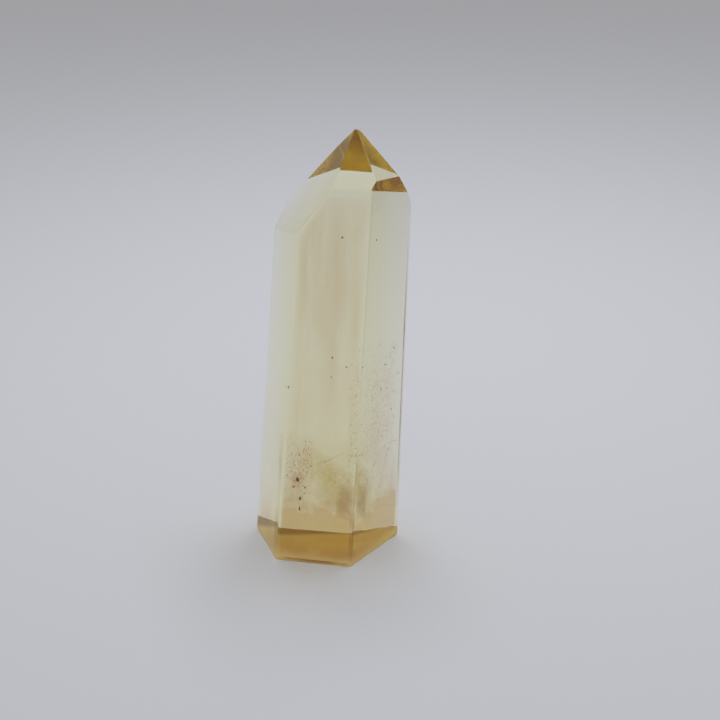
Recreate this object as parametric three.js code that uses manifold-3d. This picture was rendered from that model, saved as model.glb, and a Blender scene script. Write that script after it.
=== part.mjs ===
// A polished citrine point: one leaning six-sided prism of quartz with a flat cut base,
// ground by hand to an off-centre tip.
// Millimetres, +Z up. The origin is the middle of the base's bounding box, and the widest face,
// the front, looks towards -Y.
import * as THREE from "three";
import { mergeVertices } from "three/addons/utils/BufferGeometryUtils.js";
import Module from "manifold-3d";

// The rough block that the point is ground from.
const BLOCK_WIDTH = 60;
const BLOCK_HEIGHT = 90;

// Where the facets of the point would meet if the tip were sharp.
const SHARP_TIP = new THREE.Vector3(4.69, 6.42, 75.35);

// Each flat face is stated by the way it looks.
// turn: degrees from the front, -Y, towards the right, +X.
// rise: degrees above the level. A face with a negative rise overhangs.

// The long faces lean back and to the right together, and draw in a little towards the top.
// reach: distance of the face from the upright axis through the origin, at the level of the base.
const PRISM_FACES = [
  { side: "front", turn: -10.85, rise: 6.84, reach: 10.31 },
  { side: "right", turn: 51.77, rise: 1.49, reach: 9.7 },
  { side: "back right", turn: 104.23, rise: -2.72, reach: 11.8 },
  { side: "back", turn: 171.68, rise: -4.12, reach: 5.65 },
  { side: "back left", turn: -122.49, rise: 0.96, reach: 12.96 },
  { side: "left", turn: -68.49, rise: 6.28, reach: 12.28 },
];

// drop: how far the facet lies below the sharp tip, square to the facet.
// The back facet is ground past the tip and leaves it blunt.
// The right shoulder is a small chamfer that stays clear of the tip.
const POINT_FACETS = [
  { side: "front", turn: -13.83, rise: 49.64, drop: 0 },
  { side: "right", turn: 57.78, rise: 48.02, drop: 0 },
  { side: "back right", turn: 113.52, rise: 33.18, drop: 0 },
  { side: "back", turn: 170.46, rise: 18.31, drop: 0.52 },
  { side: "back left", turn: -130.84, rise: 39.71, drop: 0 },
  { side: "left", turn: -75.27, rise: 36.2, drop: 0 },
  { side: "right shoulder", turn: 103.24, rise: 21.5, drop: -3.36 },
];

const STONE_COLOUR = 0xcfc08a;
const STONE_ROUGHNESS = 0.04;

// Vertices closer than this are one vertex.
const WELD_DISTANCE = 1e-4;
const UP = new THREE.Vector3(0, 0, 1);

const wasm = await Module();
wasm.setup();

// A closed geometry as a solid that can be cut.
function solidFrom(geometry) {
  const bare = geometry.clone();
  bare.deleteAttribute("normal");
  bare.deleteAttribute("uv");
  const welded = mergeVertices(bare, WELD_DISTANCE);
  const mesh = new wasm.Mesh({
    numProp: 3,
    vertProperties: welded.attributes.position.array,
    triVerts: new Uint32Array(welded.index.array),
  });
  return new wasm.Manifold(mesh);
}

// A solid as a geometry with flat-shaded faces.
function geometryFrom(solid) {
  const mesh = solid.getMesh();
  const shared = new THREE.BufferGeometry();
  shared.setAttribute("position", new THREE.BufferAttribute(mesh.vertProperties, mesh.numProp));
  shared.setIndex(new THREE.BufferAttribute(mesh.triVerts, 1));
  const faceted = shared.toNonIndexed();
  faceted.computeVertexNormals();
  return faceted;
}

// The direction that a face looks in.
function outward({ turn, rise }) {
  const turned = THREE.MathUtils.degToRad(turn);
  const raised = THREE.MathUtils.degToRad(rise);
  const level = Math.cos(raised);
  return new THREE.Vector3(level * Math.sin(turned), -level * Math.cos(turned), Math.sin(raised));
}

// Grinds a flat face: everything beyond the plane through the point is taken off the stone.
function grind(stone, normal, point) {
  const waste = new THREE.BoxGeometry(2 * BLOCK_HEIGHT, 2 * BLOCK_HEIGHT, 2 * BLOCK_HEIGHT);
  waste.translate(0, 0, BLOCK_HEIGHT);
  waste.applyQuaternion(new THREE.Quaternion().setFromUnitVectors(UP, normal));
  waste.translate(point.x, point.y, point.z);
  return stone.subtract(solidFrom(waste));
}

function roughBlock() {
  const block = new THREE.BoxGeometry(BLOCK_WIDTH, BLOCK_WIDTH, BLOCK_HEIGHT);
  block.translate(0, 0, BLOCK_HEIGHT / 2);
  return solidFrom(block);
}

function groundPoint() {
  let stone = roughBlock();
  for (const face of PRISM_FACES) {
    const foot = outward({ turn: face.turn, rise: 0 }).multiplyScalar(face.reach);
    stone = grind(stone, outward(face), foot);
  }
  for (const facet of POINT_FACETS) {
    const normal = outward(facet);
    const middle = SHARP_TIP.clone().addScaledVector(normal, -facet.drop);
    stone = grind(stone, normal, middle);
  }
  return stone;
}

const citrine = new THREE.MeshStandardMaterial({
  color: STONE_COLOUR,
  roughness: STONE_ROUGHNESS,
  metalness: 0,
});
const crystalPoint = new THREE.Mesh(geometryFrom(groundPoint()), citrine);
crystalPoint.name = "crystal_point";

const group = new THREE.Group();
group.add(crystalPoint);

export default group;
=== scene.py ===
import itertools
import math
from typing import NamedTuple

import bmesh
import bpy
import numpy as np
from bpy.props import FloatProperty, FloatVectorProperty, IntProperty, PointerProperty
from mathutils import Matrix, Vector


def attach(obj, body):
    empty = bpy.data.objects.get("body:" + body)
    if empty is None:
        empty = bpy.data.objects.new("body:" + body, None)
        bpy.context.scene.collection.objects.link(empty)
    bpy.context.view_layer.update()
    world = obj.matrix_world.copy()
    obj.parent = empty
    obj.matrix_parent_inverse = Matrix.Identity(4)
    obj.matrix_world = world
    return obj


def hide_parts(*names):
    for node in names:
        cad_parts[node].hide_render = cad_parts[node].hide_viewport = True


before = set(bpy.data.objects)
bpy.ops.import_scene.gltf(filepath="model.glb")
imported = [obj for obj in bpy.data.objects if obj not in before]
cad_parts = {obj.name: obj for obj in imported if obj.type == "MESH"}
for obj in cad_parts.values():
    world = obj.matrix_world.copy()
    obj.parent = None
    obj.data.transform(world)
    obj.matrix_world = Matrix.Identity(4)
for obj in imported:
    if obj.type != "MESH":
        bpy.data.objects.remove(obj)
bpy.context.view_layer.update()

bl_info = {
    "name": "Citrine Point",
    "version": (1, 0, 0),
    "blender": (4, 5, 0),
    "location": "3D View > Sidebar > Citrine",
    "description": "Builds a polished citrine crystal point with its inclusions, on a plain stage",
    "category": "Add Mesh",
}

MM = 0.001
STONE = "crystal_point"
BODY = "root"
# Triangles with less area, in square metres, are slivers, and normals this close belong to one flat face.
SLIVER_AREA = 1e-9
SAME_FACE_COSINE = math.cos(math.radians(1.0))
# Three planes whose normals span less than this volume don't meet in a corner.
LEAST_SPAN = 1e-6
# A corner may lie this far outside a plane, in metres, for the rounding of the numbers.
CORNER_ROOM = 1e-9
# A face whose normal has less height than this looks straight down.
LOOKS_DOWN = -0.999


def linear(hex_colour):
    """An sRGB hex colour such as "c8b27a" as linear red, green, blue and alpha."""
    channels = np.array([int(hex_colour[i:i + 2], 16) for i in (0, 2, 4)]) / 255
    light = np.where(channels <= 0.04045, channels / 12.92, ((channels + 0.055) / 1.055) ** 2.4)
    return (*light.tolist(), 1.0)


def add_node(tree, kind, inputs=None, **settings):
    """A node with its settings, and each input set to a value or linked from another node's socket."""
    made = tree.nodes.new(kind)
    for name, value in settings.items():
        setattr(made, name, value)
    for name, value in (inputs or {}).items():
        if isinstance(value, bpy.types.NodeSocket):
            tree.links.new(value, made.inputs[name])
        else:
            made.inputs[name].default_value = value
    return made


def new_material(name):
    """An empty node material and its tree."""
    material = bpy.data.materials.new(name)
    material.use_nodes = True
    material.node_tree.nodes.clear()
    return material, material.node_tree


def new_object(name, points, faces, materials):
    """A mesh object at the origin from arrays of points, in metres, and faces."""
    mesh = bpy.data.meshes.new(name)
    mesh.from_pydata(np.asarray(points, float).tolist(), [], [list(map(int, f)) for f in faces])
    mesh.validate()
    mesh.update()
    for material in materials:
        mesh.materials.append(material)
    made = bpy.data.objects.new(name, mesh)
    bpy.context.scene.collection.objects.link(made)
    return made


def flat_faces(mesh):
    """Outward normals and offsets, in metres, of the flat faces of a closed mesh of triangles.

    Triangles whose normals and offsets agree belong to one face, and the largest sets the plane.
    """
    points = np.empty(len(mesh.vertices) * 3, np.float32)
    mesh.vertices.foreach_get("co", points)
    points = points.reshape(-1, 3).astype(float)
    mesh.calc_loop_triangles()
    corners = np.empty(len(mesh.loop_triangles) * 3, np.int32)
    mesh.loop_triangles.foreach_get("vertices", corners)
    a, b, c = points[corners.reshape(-1, 3)].transpose(1, 0, 2)
    cross = np.cross(b - a, c - a)
    area = np.linalg.norm(cross, axis=1)
    normals = cross / np.maximum(area, SLIVER_AREA)[:, None]
    offsets = (normals * a).sum(1)
    kept = []
    for i in np.argsort(-area):
        if area[i] < SLIVER_AREA:
            continue
        if not any(normals[i] @ normals[j] > SAME_FACE_COSINE for j in kept):
            kept.append(i)
    return normals[kept], offsets[kept]


STONE_PLANES = flat_faces(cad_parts[STONE].data)


def corners_inside(normals, offsets):
    """Corners of the convex solid inside all the planes, and the three planes that meet in each.

    Every three planes meet in a point, and a point is a corner when it is inside all the others.
    """
    triples = np.array(list(itertools.combinations(range(len(normals)), 3)))
    triples = triples[np.abs(np.linalg.det(normals[triples])) > LEAST_SPAN]
    points = np.linalg.solve(normals[triples], offsets[triples][..., None])[..., 0]
    inside = (points @ normals.T <= offsets + CORNER_ROOM).all(1)
    return points[inside], triples[inside]


def rolled_solid(normals, offsets, radius, steps):
    """A convex solid with flat faces and evenly rounded edges and corners, as points and faces.

    The planes are moved in by the radius, and a ball of that radius is swept over the smaller solid.
    A point is a corner of the smaller solid plus the radius times a unit direction, where the
    directions are even mixes of the normals of the three faces that meet in the corner.
    """
    corners, triples = corners_inside(normals, offsets - radius)
    mixes = [(i, j, steps - i - j) for i in range(steps + 1) for j in range(steps + 1 - i)]
    place = {mix: k for k, mix in enumerate(mixes)}
    weights = np.array(mixes) / steps
    directions = np.einsum("km,cmx->ckx", weights, normals[triples])
    directions /= np.linalg.norm(directions, axis=2, keepdims=True)
    points = (corners[:, None] + radius * directions).reshape(-1, 3)

    def index(corner, shares):
        mix = tuple(shares.get(plane, 0) for plane in triples[corner])
        return corner * len(mixes) + place[mix]

    faces = []
    of_plane = [np.flatnonzero((triples == p).any(1)) for p in range(len(normals))]
    for plane, members in enumerate(of_plane):
        spokes = corners[members] - corners[members].mean(0)
        across = spokes[0] / np.linalg.norm(spokes[0])
        up = np.cross(normals[plane], across)
        order = members[np.argsort(np.arctan2(spokes @ up, spokes @ across))]
        faces.append([index(c, {plane: steps}) for c in order])
    for first, second in itertools.combinations(range(len(corners)), 2):
        shared = set(triples[first]) & set(triples[second])
        if len(shared) == 2:
            p, q = sorted(shared)
            strip = [[index(c, {p: steps - k, q: k}) for k in range(steps + 1)] for c in (first, second)]
            faces += [[strip[0][k], strip[1][k], strip[1][k + 1], strip[0][k + 1]] for k in range(steps)]
    for corner in range(len(corners)):
        start = corner * len(mixes)
        for i, j, k in mixes:
            if k > 0:
                faces.append([start + place[m] for m in ((i, j, k), (i + 1, j, k - 1), (i, j + 1, k - 1))])
            if k > 1:
                ring = ((i + 1, j, k - 1), (i + 1, j + 1, k - 2), (i, j + 1, k - 1))
                faces.append([start + place[m] for m in ring])
    return points, turned_out(points, faces)


def turned_out(points, faces):
    """The faces of a convex solid, each turned so that it looks away from the middle."""
    middle = points.mean(0)
    made = []
    for face in faces:
        ring = points[face]
        normal = np.cross(ring[1] - ring[0], ring[2] - ring[0])
        made.append(face if normal @ (ring.mean(0) - middle) > 0 else face[::-1])
    return made


class CITRINE_PG_stone(bpy.types.PropertyGroup):
    """Sizes and finish of the stone."""

    edge_radius: FloatProperty(
        name="Edge radius", description="Rounding that polishing leaves on the edges and the tip",
        default=0.15 * MM, unit="LENGTH", precision=5,
    )
    edge_steps: IntProperty(name="Edge steps", description="Flat strips across a rounded edge", default=4)
    ior: FloatProperty(name="IOR", description="Index of refraction of quartz", default=1.55)
    body_colour: FloatVectorProperty(
        name="Body colour", description="Light that a metre of stone lets by, per unit of density",
        subtype="COLOR", size=4, default=(0.931, 0.865, 0.15, 1.0),
    )
    body_density: FloatProperty(
        name="Body density", description="Absorption in each metre of stone", default=32.0,
    )


class CITRINE_PG_stage(bpy.types.PropertyGroup):
    """Floor, light, room and camera."""

    floor_gap: FloatProperty(
        name="Floor gap", description="Room between the cut base and the floor",
        default=0.05 * MM, unit="LENGTH", precision=5,
    )
    floor_colour: FloatVectorProperty(
        name="Floor colour", description="Colour of the floor",
        subtype="COLOR", size=4, default=linear("e6e6e8"),
    )
    light_place: FloatVectorProperty(
        name="Light place", description="Place of the soft light", subtype="XYZ", unit="LENGTH",
        default=(30.0 * MM, 95.0 * MM, 340.0 * MM),
    )
    light_target: FloatVectorProperty(
        name="Light target", description="Point on the floor that the light looks at", subtype="XYZ",
        unit="LENGTH", default=(0.0, 85.0 * MM, 0.0),
    )
    light_size: FloatProperty(
        name="Light size", description="Side of the square light", default=170.0 * MM, unit="LENGTH",
    )
    light_power: FloatProperty(
        name="Light power", description="Power of the light in watts", default=0.4, unit="POWER",
    )
    light_colour: FloatVectorProperty(
        name="Light colour", description="Colour of the light, a little cool", size=3,
        default=(0.92, 0.97, 1.07),
    )
    room_colour: FloatVectorProperty(
        name="Room colour", description="Colour of the light from all round", subtype="COLOR", size=4,
        default=(0.98, 0.98, 1.0, 1.0),
    )
    room_strength: FloatProperty(
        name="Room strength", description="Strength of the light from all round", default=0.435,
    )
    eye: FloatVectorProperty(
        name="Eye", description="Place of the camera", subtype="XYZ", unit="LENGTH",
        default=(5.33 * MM, -199.76 * MM, 126.07 * MM),
    )
    look_down: FloatProperty(
        name="Look down", description="Angle of the view below the level",
        default=math.radians(24.39), subtype="ANGLE",
    )
    view_angle: FloatProperty(
        name="View angle", description="Width of the view", default=math.radians(32.0), subtype="ANGLE",
    )


def polished_citrine(settings):
    """Citrine, a clear pale yellow quartz, ground flat and polished.

    It bends light as quartz does and takes blue out of it over centimetres, so thin parts look almost
    white and long paths, such as those down from the tip, look olive brown.
    """
    material, tree = new_material("polished_citrine")
    place = add_node(tree, "ShaderNodeTexCoord").outputs["Object"]
    haze = add_node(tree, "ShaderNodeTexNoise", {"Vector": place, "Scale": 90.0, "Detail": 3.0})
    rough = add_node(
        tree, "ShaderNodeMapRange",
        {"Value": haze.outputs["Fac"], "From Min": 0.55, "From Max": 0.85, "To Min": 0.0, "To Max": 0.05},
    )
    shader = add_node(
        tree, "ShaderNodeBsdfPrincipled",
        {
            "Base Color": (1.0, 1.0, 1.0, 1.0), "Roughness": rough.outputs["Result"], "IOR": settings.ior,
            "Transmission Weight": 1.0,
        },
    )
    body = add_node(
        tree, "ShaderNodeVolumeAbsorption",
        {"Color": settings.body_colour, "Density": settings.body_density},
    )
    add_node(
        tree, "ShaderNodeOutputMaterial",
        {"Surface": shader.outputs["BSDF"], "Volume": body.outputs["Volume"]},
    )
    return material


def ground_base(settings):
    """Quartz left ground after sawing, with rust in its pores: a matt amber face seen through the stone.

    It is clean in the middle, milky at the front and brown along the back.
    """
    material, tree = new_material("ground_rusty_quartz")
    place = add_node(tree, "ShaderNodeTexCoord").outputs["Object"]
    patch = add_node(
        tree, "ShaderNodeTexNoise", {"Vector": place, "Scale": 220.0, "Detail": 6.0, "Roughness": 0.6},
    )
    tone = add_node(tree, "ShaderNodeValToRGB", {"Fac": patch.outputs["Fac"]})
    tone.color_ramp.elements[0].position = 0.35
    tone.color_ramp.elements[0].color = linear("f2e6c0")
    tone.color_ramp.elements[1].position = 0.7
    tone.color_ramp.elements[1].color = linear("fffadc")
    to_back = add_node(
        tree, "ShaderNodeVectorMath", {0: place, 1: (-0.12, 1.0, 0.0)}, operation="DOT_PRODUCT",
    )
    swayed = add_node(
        tree, "ShaderNodeMath",
        {0: patch.outputs["Fac"], 1: 2.0 * MM, 2: to_back.outputs["Value"]}, operation="MULTIPLY_ADD",
    )
    brown = add_node(
        tree, "ShaderNodeMapRange",
        {
            "Value": swayed.outputs[0], "From Min": 4.7 * MM, "From Max": 6.2 * MM,
            "To Min": 0.0, "To Max": 0.75,
        },
    )
    stain = add_node(
        tree, "ShaderNodeMix",
        {"Factor": brown.outputs["Result"], "A": tone.outputs["Color"], "B": linear("a98a58")},
        data_type="RGBA",
    )
    depth = add_node(tree, "ShaderNodeSeparateXYZ", {"Vector": place}).outputs["Y"]
    front = add_node(
        tree, "ShaderNodeMapRange",
        {"Value": depth, "From Min": -4.5 * MM, "From Max": -1.0 * MM, "To Min": 1.0, "To Max": 0.0},
    )
    milky = add_node(
        tree, "ShaderNodeMix",
        {"Factor": front.outputs["Result"], "A": stain.outputs["Result"], "B": linear("f6e8e0")},
        data_type="RGBA",
    )
    shader = add_node(
        tree, "ShaderNodeBsdfPrincipled",
        {"Base Color": milky.outputs["Result"], "Roughness": 0.7, "IOR": settings.ior},
    )
    add_node(tree, "ShaderNodeOutputMaterial", {"Surface": shader.outputs["BSDF"]})
    return material


def stain_and_shade_film(name, tint, cover, grain, stretch):
    """A clear film that tints what is seen through it, in soft patches: rust stain in a healed crack, and
    along the foot of the stone painted shade for its contact shadow.

    The grain is the size of its patches in metres, and the stretch draws them out along the stone.
    """
    material, tree = new_material(name)
    place = add_node(tree, "ShaderNodeTexCoord").outputs["Object"]
    drawn = add_node(tree, "ShaderNodeMapping", {"Vector": place, "Scale": (1.0, 1.0, 1.0 / stretch)})
    cloud = add_node(
        tree, "ShaderNodeTexNoise",
        {"Vector": drawn.outputs["Vector"], "Scale": 1.0 / grain, "Detail": 7.0, "Roughness": 0.62},
    )
    thick = add_node(
        tree, "ShaderNodeMapRange",
        {
            "Value": cloud.outputs["Fac"], "From Min": 0.25, "From Max": 0.7,
            "To Min": 0.3 * cover, "To Max": cover,
        },
    )
    fade = add_node(tree, "ShaderNodeAttribute", attribute_name="fade")
    share = add_node(
        tree, "ShaderNodeMath",
        {0: thick.outputs["Result"], 1: fade.outputs["Fac"]}, operation="MULTIPLY", use_clamp=True,
    )
    tone = add_node(
        tree, "ShaderNodeMix",
        {"Factor": share.outputs["Value"], "A": linear("ffffff"), "B": linear(tint)}, data_type="RGBA",
    )
    shader = add_node(
        tree, "ShaderNodeBsdfPrincipled",
        {"Base Color": tone.outputs["Result"], "Roughness": 0.0, "IOR": 1.0, "Transmission Weight": 1.0},
    )
    add_node(tree, "ShaderNodeOutputMaterial", {"Surface": shader.outputs["BSDF"]})
    return material


def iron_oxide(name, dark, rust, rust_share):
    """Hematite and goethite, the rust in the stone: matt, from almost black to orange brown."""
    material, tree = new_material(name)
    place = add_node(tree, "ShaderNodeTexCoord").outputs["Object"]
    speck = add_node(tree, "ShaderNodeTexNoise", {"Vector": place, "Scale": 1500.0, "Detail": 3.0})
    tone = add_node(tree, "ShaderNodeValToRGB", {"Fac": speck.outputs["Fac"]})
    tone.color_ramp.elements[0].position = 0.65 - rust_share
    tone.color_ramp.elements[0].color = linear(dark)
    tone.color_ramp.elements[1].position = 0.85 - rust_share
    tone.color_ramp.elements[1].color = linear(rust)
    shader = add_node(
        tree, "ShaderNodeBsdfPrincipled",
        {"Base Color": tone.outputs["Color"], "Roughness": 0.6, "Specular IOR Level": 0.2},
    )
    add_node(tree, "ShaderNodeOutputMaterial", {"Surface": shader.outputs["BSDF"]})
    return material


def pale_paper(colour):
    """Smooth matt paper: even, pale and without gloss."""
    material, tree = new_material("pale_paper")
    place = add_node(tree, "ShaderNodeTexCoord").outputs["Object"]
    tooth = add_node(tree, "ShaderNodeTexNoise", {"Vector": place, "Scale": 900.0, "Detail": 2.0})
    bump = add_node(
        tree, "ShaderNodeBump", {"Height": tooth.outputs["Fac"], "Strength": 0.05, "Distance": 0.2 * MM},
    )
    shader = add_node(
        tree, "ShaderNodeBsdfPrincipled",
        {
            "Base Color": colour, "Roughness": 0.9, "Specular IOR Level": 0.1,
            "Normal": bump.outputs["Normal"],
        },
    )
    add_node(tree, "ShaderNodeOutputMaterial", {"Surface": shader.outputs["BSDF"]})
    return material


class CITRINE_OT_stone(bpy.types.Operator):
    """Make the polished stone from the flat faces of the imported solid"""

    bl_idname = "citrine.stone"
    bl_label = "Polished Stone"

    def execute(self, context):
        settings = context.scene.citrine_stone
        points, faces = rolled_solid(*STONE_PLANES, settings.edge_radius, settings.edge_steps)
        looks = [polished_citrine(settings), ground_base(settings)]
        stone = new_object("polished_stone", points, faces, looks)
        facing = np.empty(len(stone.data.polygons) * 3, np.float32)
        stone.data.polygons.foreach_get("normal", facing)
        stone.data.polygons.foreach_set("material_index", (facing[2::3] < LOOKS_DOWN).astype(np.int32))
        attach(stone, BODY)
        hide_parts(STONE)
        return {"FINISHED"}


# Degrees from the front, -Y, towards the right, +X, in which the long faces that are seen look.
FACE_TURNS = {"front": -11.0, "right": 52.0, "left": -68.0}


class Film(NamedTuple):
    """A tinted film that follows a face of the stone. Most are rust stains in healed cracks; the one along
    the foot is painted shade.

    across: shares of the face's width, from its left end, between which the film lies.
    up: heights of its foot and its head above the base, in millimetres.
    depth: its distance behind the face, in millimetres.
    tint, cover, grain, stretch: its look, with the grain in millimetres.
    sink: where it is thickest, in the middle for 1, lower for more and higher for less.
    slant: how much lower its right end lies than its left end, in millimetres.
    hem: how far it thins out towards its left and right ends, from the middle for 1 and less for less.
    """

    face: str
    across: tuple
    up: tuple
    depth: float
    tint: str
    cover: float
    grain: float
    stretch: float = 1.0
    sink: float = 1.0
    slant: float = 0.0
    hem: float = 1.0


FILMS = {
    "olive_band": Film("front", (0.3, 1.0), (8.0, 18.0), 8.5, "d8c27a", 1.3, 3.0, slant=6.0),
    "rust_patch": Film("front", (0.7, 0.95), (7.0, 14.0), 7.0, "c0954c", 1.1, 2.2),
    "right_veil": Film("right", (0.1, 0.98), (10.0, 40.0), 3.0, "efdccf", 0.8, 4.0, 1.5, 1.5),
    "pale_film": Film("front", (0.1, 0.9), (13.0, 22.0), 8.5, "f3e6bd", 1.0, 3.5, 1.0, 1.5),
    "left_rust": Film("front", (0.0, 0.4), (9.0, 24.0), 4.0, "d8b478", 0.7, 0.8, 9.0),
    "dark_streak": Film("front", (0.4, 0.7), (27.0, 62.0), 1.5, "e2cbb6", 0.45, 2.0, 9.0),
    "left_low": Film("left", (0.05, 0.55), (1.5, 11.5), 2.5, "e6c9a0", 0.5, 2.5, 2.0, 1.5),
    "speck_halo": Film("front", (0.1, 0.28), (13.0, 16.5), 3.5, "d07a28", 0.8, 1.2),
    "upper_haze": Film("front", (0.02, 0.98), (26.0, 66.0), 1.5, "e8d3bc", 1.1, 2.6, 9.0, 0.5, hem=0.3),
    "lower_haze": Film("front", (0.02, 0.98), (6.0, 38.0), 1.5, "eedbb4", 0.7, 3.0, 2.5, hem=0.3),
    "front_curtain": Film("front", (0.01, 0.99), (0.6, 18.0), 1.2, "d6b07a", 2.4, 2.4, 1.0, 2.4, hem=0.15),
    "right_curtain": Film("right", (0.02, 0.98), (0.4, 18.0), 0.8, "dcba8c", 2.2, 2.4, 1.0, 2.8, hem=0.15),
    "left_curtain": Film("left", (0.03, 0.97), (0.4, 11.5), 0.8, "e0c4a2", 0.9, 2.4, 1.0, 2.4, hem=0.15),
    "right_edge": Film("right", (0.95, 0.99), (5.0, 57.0), 0.2, "94642f", 1.3, 1.6, 6.0),
    "left_edge": Film("left", (0.8, 0.98), (0.7, 12.5), 0.3, "c9ac72", 1.2, 2.0, 2.0, 1.5),
    # Painted shade: this dark brown film along the foot of the front face stands in for the contact shadow
    # line where the stone meets the floor.
    "foot_contact_shadow": Film("front", (0.02, 0.98), (0.1, 0.6), 0.3, "a07c48", 2.0, 2.0),
}
FILM_STEPS = 40
# How far a film as wide as its face bows inwards, in millimetres, and how it ripples there.
BOW = 0.5
RIPPLE = 0.1
RIPPLE_ACROSS = 9
RIPPLE_DOWN = 5
# Powers of the sines by which a film thins out towards its ends, its head and its foot.
ASIDE_FADE = 0.6
UPRIGHT_FADE = 0.8


class Grain(NamedTuple):
    """A single iron grain: its place behind a face, as for a film, and its width and height.

    All but the share are in millimetres.
    """

    face: str
    share: float
    up: float
    depth: float
    wide: float
    tall: float


BLACK_GRAINS = (
    Grain("front", 0.2, 15.0, 3.0, 0.5, 0.9),
    Grain("front", 0.15, 13.5, 3.5, 0.25, 0.4),
    Grain("front", 0.3, 13.5, 3.5, 0.25, 0.35),
    Grain("front", 0.25, 11.5, 3.0, 0.3, 0.8),
    Grain("front", 0.25, 9.5, 3.0, 0.2, 0.8),
)
BROWN_GRAINS = (
    Grain("front", 0.62, 59.0, 2.0, 0.3, 0.3),
    Grain("front", 0.97, 58.5, 4.0, 0.25, 0.25),
    Grain("front", 0.55, 37.5, 5.5, 0.25, 0.35),
    Grain("front", 0.55, 34.0, 5.5, 0.2, 0.25),
    Grain("front", 0.75, 36.0, 5.5, 0.2, 0.25),
    Grain("front", 0.02, 32.5, 1.0, 0.15, 0.5),
    Grain("right", 0.7, 34.5, 3.5, 0.25, 0.25),
    Grain("right", 0.85, 37.0, 2.5, 0.2, 0.4),
    Grain("right", 0.65, 30.0, 4.0, 0.2, 0.25),
    Grain("right", 0.85, 25.5, 2.5, 0.2, 0.3),
    Grain("right", 0.95, 32.0, 2.0, 0.2, 0.3),
    Grain("left", 0.4, 14.5, 3.0, 0.3, 0.3),
)


class Strewn(NamedTuple):
    """Dust over a patch behind a face: the patch as for a film, the count of its grains, and their widths.

    The least and the greatest width are in millimetres.
    """

    face: str
    across: tuple
    up: tuple
    depth: float
    count: int
    least: float
    most: float
    slant: float = 0.0


DUST = (
    Strewn("right", (0.1, 0.98), (10.0, 40.0), 3.0, 1200, 0.06, 0.2),
    Strewn("front", (0.3, 1.0), (8.0, 18.0), 8.5, 150, 0.06, 0.16, 6.0),
    Strewn("front", (0.05, 0.38), (8.0, 22.0), 3.5, 110, 0.07, 0.24),
)


class Trail(NamedTuple):
    """A line of small grains behind a face: its depth, and three points that it runs through.

    Each point is a share of the face's width and a height in millimetres.
    """

    face: str
    depth: float
    points: tuple


WISPS = (
    Trail("front", 7.0, ((0.45, 16.0), (0.7, 14.0), (0.9, 11.0))),
    Trail("front", 7.0, ((0.9, 11.0), (0.9, 8.0), (0.95, 5.5))),
    Trail("front", 8.0, ((0.6, 15.5), (0.8, 15.0), (0.95, 12.0))),
)
CRACK_RIMS = (
    Trail("front", 7.5, ((0.3, 16.5), (0.55, 18.0), (0.8, 20.0))),
    Trail("right", 2.0, ((0.85, 18.5), (0.95, 19.0), (0.98, 17.5))),
    Trail("right", 2.5, ((0.8, 30.5), (0.88, 29.0), (0.97, 28.0))),
    Trail("right", 3.5, ((0.97, 19.5), (0.8, 16.0), (0.75, 11.5))),
    Trail("right", 2.5, ((0.98, 16.5), (0.93, 13.0), (0.87, 9.0))),
    Trail("right", 5.0, ((0.7, 10.5), (0.75, 7.5), (0.73, 6.0))),
)
# How far a grain of dust lies from its film, in millimetres.
DUST_SPREAD = 0.12
# The shape of the random spread of dust, which is thicker towards the right and in the middle.
DUST_ACROSS = (2.0, 1.6)
DUST_DOWN = (1.6, 1.6)
DUST_FINENESS = 3
# How uneven a grain is, as a share of its size.
GRAIN_ROUGHNESS = 0.22
# The upright rust needles: how many, the shares between which they stand, the heights of their foot and
# head and how much these vary, and their depth.
NEEDLES = 11
NEEDLE_ACROSS = (0.03, 0.34)
NEEDLE_UP = (14.5, 20.5)
NEEDLE_VARIES = 1.4
NEEDLE_DEPTH = 4.0


def behind(face, share, height, depth):
    """Points in metres behind a long face, at shares of its width, heights and depths in millimetres.

    At each height the level line in the face's plane runs from the first plane that it leaves to the first
    that it meets. The point lies at the share of that line, moved in along the face's normal by the depth.
    """
    normals, offsets = STONE_PLANES
    turn = math.radians(FACE_TURNS[face])
    chosen = np.argmax(normals @ (math.sin(turn), -math.cos(turn), 0.0))
    normal, offset = normals[chosen], offsets[chosen]
    height, share = np.broadcast_arrays(np.asarray(height, float) * MM, share)
    steep = np.linalg.norm(normal[:2])
    level = normal[:2] / steep
    along = np.array([-level[1], level[0], 0.0])
    out = (offset - normal[2] * height) / steep
    foot = np.stack([level[0] * out, level[1] * out, height], -1)
    others = np.delete(normals, chosen, 0)
    pace = others @ along
    room = np.delete(offsets, chosen) - foot @ others.T
    end = (room[..., pace > 0] / pace[pace > 0]).min(-1)
    start = (room[..., pace < 0] / pace[pace < 0]).max(-1)
    reach = (start + (end - start) * share)[..., None]
    return foot + along * reach - normal * (np.asarray(depth, float) * MM)[..., None]


def on_patch(patch, u, v):
    """Points in metres on a patch behind a face, at shares u across it and v down from its head.

    It bows inwards by the bow times its share of the face's width and the sines of half turns across and
    down, and a third sine that slants over it ripples the bow.
    """
    width = patch.across[1] - patch.across[0]
    share = patch.across[0] + width * u
    height = patch.up[1] + (patch.up[0] - patch.up[1]) * v - patch.slant * (u - 0.5)
    ripple = RIPPLE * np.sin(RIPPLE_ACROSS * u + RIPPLE_DOWN * v)
    bow = width * np.sin(math.pi * u) * np.sin(math.pi * v) * (BOW + ripple)
    return behind(patch.face, share, height, patch.depth + bow)


def grid_faces(rows, columns):
    """Faces of a grid of points stored row by row."""
    row, column = np.meshgrid(np.arange(rows - 1), np.arange(columns - 1), indexing="ij")
    first = row * columns + column
    return np.stack([first, first + 1, first + columns + 1, first + columns], -1).reshape(-1, 4)


def put_inside(piece):
    """Let a piece that lies in the stone move with it."""
    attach(piece, BODY)


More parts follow.
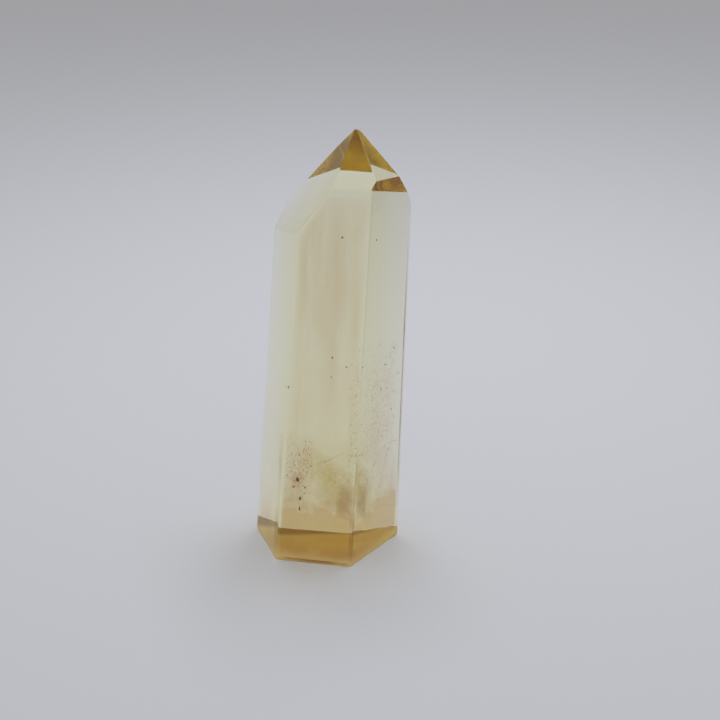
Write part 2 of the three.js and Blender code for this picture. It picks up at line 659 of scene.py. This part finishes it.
def even_ball(level):
    """Points and triangles of a unit ball made of even triangles."""
    ball = bmesh.new()
    bmesh.ops.create_icosphere(ball, subdivisions=level, radius=1.0)
    mesh = bpy.data.meshes.new("ball")
    ball.to_mesh(mesh)
    ball.free()
    points = np.empty(len(mesh.vertices) * 3, np.float32)
    mesh.vertices.foreach_get("co", points)
    faces = np.empty(len(mesh.loops), np.int32)
    mesh.loops.foreach_get("vertex_index", faces)
    bpy.data.meshes.remove(mesh)
    return points.reshape(-1, 3).astype(float), faces.reshape(-1, 3)


def lumps(middles, sizes, level, seed):
    """Rough grains as points and faces.

    Each is a ball scaled to its three sizes and turned about the upright axis, with each of its points
    moved in or out by a random share of its distance.
    """
    rng = np.random.default_rng(seed)
    ball, faces = even_ball(level)
    count = len(middles)
    rough = ball[None] * (1 + GRAIN_ROUGHNESS * rng.standard_normal((count, len(ball), 1)))
    x, y, z = np.moveaxis(rough * sizes[:, None] / 2, -1, 0)
    turn = rng.uniform(0, 2 * math.pi, (count, 1))
    cos, sin = np.cos(turn), np.sin(turn)
    points = np.stack([cos * x - sin * y, sin * x + cos * y, z], -1) + middles[:, None]
    first = len(ball) * np.arange(count)[:, None, None]
    return points.reshape(-1, 3), (faces[None] + first).reshape(-1, 3)


def strewn_along(trail, spacing, spread, rng):
    """Middles of grains along a curve through three points, one for each step, moved aside at random.

    The share and height follow the parabola through the three points at the start, half way and the end.
    """
    first, middle, last = np.array(trail.points)
    ends = behind(trail.face, np.array([first[0], last[0]]), np.array([first[1], last[1]]), trail.depth)
    count = int(np.linalg.norm(ends[1] - ends[0]) / spacing) + 2
    t = np.linspace(0, 1, count)[:, None]
    path = (1 - t) * (1 - 2 * t) * first + 4 * t * (1 - t) * middle + t * (2 * t - 1) * last
    return behind(trail.face, path[:, 0], path[:, 1], trail.depth) + rng.normal(0, spread, (count, 3))


class CITRINE_OT_films(bpy.types.Operator):
    """Make the stained films in the healed cracks of the stone, and the film of painted shade along its
    foot
    """

    bl_idname = "citrine.films"
    bl_label = "Films"

    def execute(self, context):
        steps = np.linspace(0, 1, FILM_STEPS)
        v, u = np.meshgrid(steps, steps, indexing="ij")
        for name, film in FILMS.items():
            look = stain_and_shade_film(name + "_tint", film.tint, film.cover, film.grain * MM, film.stretch)
            faces = grid_faces(FILM_STEPS, FILM_STEPS)
            piece = new_object(name, on_patch(film, u, v).reshape(-1, 3), faces, [look])
            piece.data.shade_smooth()
            aside = np.clip(np.sin(math.pi * u) / film.hem, 0, 1) ** ASIDE_FADE
            fade = aside * np.clip(np.sin(math.pi * v ** film.sink), 0, 1) ** UPRIGHT_FADE
            stored = piece.data.attributes.new("fade", "FLOAT", "POINT")
            stored.data.foreach_set("value", fade.ravel().astype(np.float32))
            put_inside(piece)
        return {"FINISHED"}


class CITRINE_OT_grains(bpy.types.Operator):
    """Make the iron grains: those placed one by one and the dust strewn in patches"""

    bl_idname = "citrine.grains"
    bl_label = "Iron Grains"

    def execute(self, context):
        black = iron_oxide("black_iron_oxide", "2a180c", "8a4a18", 0.3)
        brown = iron_oxide("brown_iron_oxide", "86684a", "c09a6c", 0.1)
        groups = (("black_grains", BLACK_GRAINS, black), ("brown_grains", BROWN_GRAINS, brown))
        for name, grains, look in groups:
            middles = np.array([behind(g.face, g.share, g.up, g.depth) for g in grains])
            sizes = np.array([(g.wide, g.wide, g.tall) for g in grains]) * MM
            points, faces = lumps(middles, sizes, 2, len(grains))
            put_inside(new_object(name, points, faces, [look]))
        rng = np.random.default_rng(11)
        middles, sizes = [], []
        for patch in DUST:
            u = rng.beta(*DUST_ACROSS, patch.count)
            v = rng.beta(*DUST_DOWN, patch.count)
            middles.append(on_patch(patch, u, v) + rng.normal(0, DUST_SPREAD * MM, (patch.count, 3)))
            coarse = rng.random((patch.count, 3)) ** DUST_FINENESS
            sizes.append((patch.least + (patch.most - patch.least) * coarse) * MM)
        points, faces = lumps(np.concatenate(middles), np.concatenate(sizes), 1, 6)
        put_inside(new_object("iron_dust", points, faces, [brown]))
        return {"FINISHED"}


class CITRINE_OT_trails(bpy.types.Operator):
    """Make the trails of rust grains: upright needles, wisps, and the rims of the healed cracks"""

    bl_idname = "citrine.trails"
    bl_label = "Rust Trails"

    def execute(self, context):
        rng = np.random.default_rng(21)
        needles = []
        for share in np.linspace(*NEEDLE_ACROSS, NEEDLES):
            low, high = np.array(NEEDLE_UP) + rng.normal(0, NEEDLE_VARIES, 2)
            points = ((share, high), (share, (low + high) / 2), (share, low))
            needles.append(Trail("front", NEEDLE_DEPTH, points))
        look = iron_oxide("goethite", "7d5f34", "bb9258", 0.1)
        # Each group has its trails, and in millimetres the step and spread of its grains and their size.
        groups = (
            ("rust_needles", needles, 0.5, 0.24, (0.07, 0.07, 0.3)),
            ("rust_wisps", WISPS, 0.25, 0.14, (0.1, 0.1, 0.14)),
            ("crack_rims", CRACK_RIMS, 0.24, 0.1, (0.11, 0.11, 0.12)),
        )
        for name, trails, spacing, spread, size in groups:
            strewn = [strewn_along(trail, spacing * MM, spread * MM, rng) for trail in trails]
            middles = np.concatenate(strewn)
            sizes = np.array(size) * MM * rng.uniform(0.4, 1.4, (len(middles), 3))
            points, faces = lumps(middles, sizes, 1, len(middles))
            put_inside(new_object(name, points, faces, [look]))
        return {"FINISHED"}


# Radii in metres of the rings of the floor, and the points in each ring.
FLOOR_RADII = (0.05, 0.4, 1.8)
FLOOR_POINTS = 96


def flat_disc(radii, count, height):
    """A level disc as points and faces: a point in the middle and rings of even points round it."""
    angle = np.linspace(0, 2 * math.pi, count, endpoint=False)
    ring = np.stack([np.cos(angle), np.sin(angle), np.zeros(count)], 1)
    rings = np.array(radii)[:, None, None] * ring
    points = np.concatenate([np.zeros((1, 3)), rings.reshape(-1, 3)]) + (0.0, 0.0, height)
    row, step = np.meshgrid(np.arange(len(radii) - 1), np.arange(count), indexing="ij")
    near = row * count + 1
    after = (step + 1) % count
    quads = np.stack([near + count + step, near + count + after, near + after, near + step], -1)
    fan = np.stack([np.zeros(count, int), step[0] + 1, after[0] + 1], -1)
    return points, [*fan.tolist(), *quads.reshape(-1, 4).tolist()]


def soft_box(name, place, target, size, power, colour):
    """A square soft light that looks at the target."""
    data = bpy.data.lights.new(name, "AREA")
    data.size = size
    data.energy = power
    data.color = colour
    lamp = bpy.data.objects.new(name, data)
    lamp.location = place
    aim = Vector(target) - Vector(place)
    lamp.rotation_euler = aim.to_track_quat("-Z", "Y").to_euler()
    bpy.context.scene.collection.objects.link(lamp)


class CITRINE_OT_stage(bpy.types.Operator):
    """Make the floor, the light, the room and the camera"""

    bl_idname = "citrine.stage"
    bl_label = "Stage"

    def execute(self, context):
        scene = context.scene
        settings = scene.citrine_stage
        points, faces = flat_disc(FLOOR_RADII, FLOOR_POINTS, -settings.floor_gap)
        floor = new_object("floor_sweep", points, faces, [pale_paper(settings.floor_colour)])
        soft_box(
            "top_light", settings.light_place, settings.light_target, settings.light_size,
            settings.light_power, settings.light_colour,
        )
        world = bpy.data.worlds.new("soft_room")
        world.use_nodes = True
        sky = world.node_tree.nodes["Background"]
        sky.inputs["Color"].default_value = settings.room_colour
        sky.inputs["Strength"].default_value = settings.room_strength
        scene.world = world
        lens = bpy.data.cameras.new("eye")
        lens.angle = settings.view_angle
        lens.clip_start = 0.01
        eye = bpy.data.objects.new("eye", lens)
        eye.location = settings.eye
        eye.rotation_euler = (math.pi / 2 - settings.look_down, 0.0, 0.0)
        scene.collection.objects.link(eye)
        scene.camera = eye
        scene.view_settings.view_transform = "Standard"
        # Light turns many times inside the stone, so the bounces are many and caustics aren't blurred.
        scene.cycles.max_bounces = 24
        scene.cycles.glossy_bounces = 16
        scene.cycles.transmission_bounces = 20
        scene.cycles.transparent_max_bounces = 32
        scene.cycles.blur_glossy = 0.0
        return {"FINISHED"}


class CITRINE_PT_panel(bpy.types.Panel):
    """Buttons and sizes for the citrine point"""

    bl_label = "Citrine Point"
    bl_idname = "CITRINE_PT_panel"
    bl_space_type = "VIEW_3D"
    bl_region_type = "UI"
    bl_category = "Citrine"

    def draw(self, context):
        for operator in OPERATORS:
            self.layout.operator(operator.bl_idname)
        for settings in (context.scene.citrine_stone, context.scene.citrine_stage):
            box = self.layout.box()
            for name in settings.__annotations__:
                box.prop(settings, name)


OPERATORS = (
    CITRINE_OT_stone, CITRINE_OT_films, CITRINE_OT_grains, CITRINE_OT_trails, CITRINE_OT_stage,
)
CLASSES = (CITRINE_PG_stone, CITRINE_PG_stage, *OPERATORS, CITRINE_PT_panel)


def register():
    for made in CLASSES:
        bpy.utils.register_class(made)
    bpy.types.Scene.citrine_stone = PointerProperty(type=CITRINE_PG_stone)
    bpy.types.Scene.citrine_stage = PointerProperty(type=CITRINE_PG_stage)


def unregister():
    del bpy.types.Scene.citrine_stage
    del bpy.types.Scene.citrine_stone
    for made in reversed(CLASSES):
        bpy.utils.unregister_class(made)


def main():
    register()
    bpy.ops.citrine.stone()
    bpy.ops.citrine.films()
    bpy.ops.citrine.grains()
    bpy.ops.citrine.trails()
    bpy.ops.citrine.stage()


if __name__ == "__main__":
    main()
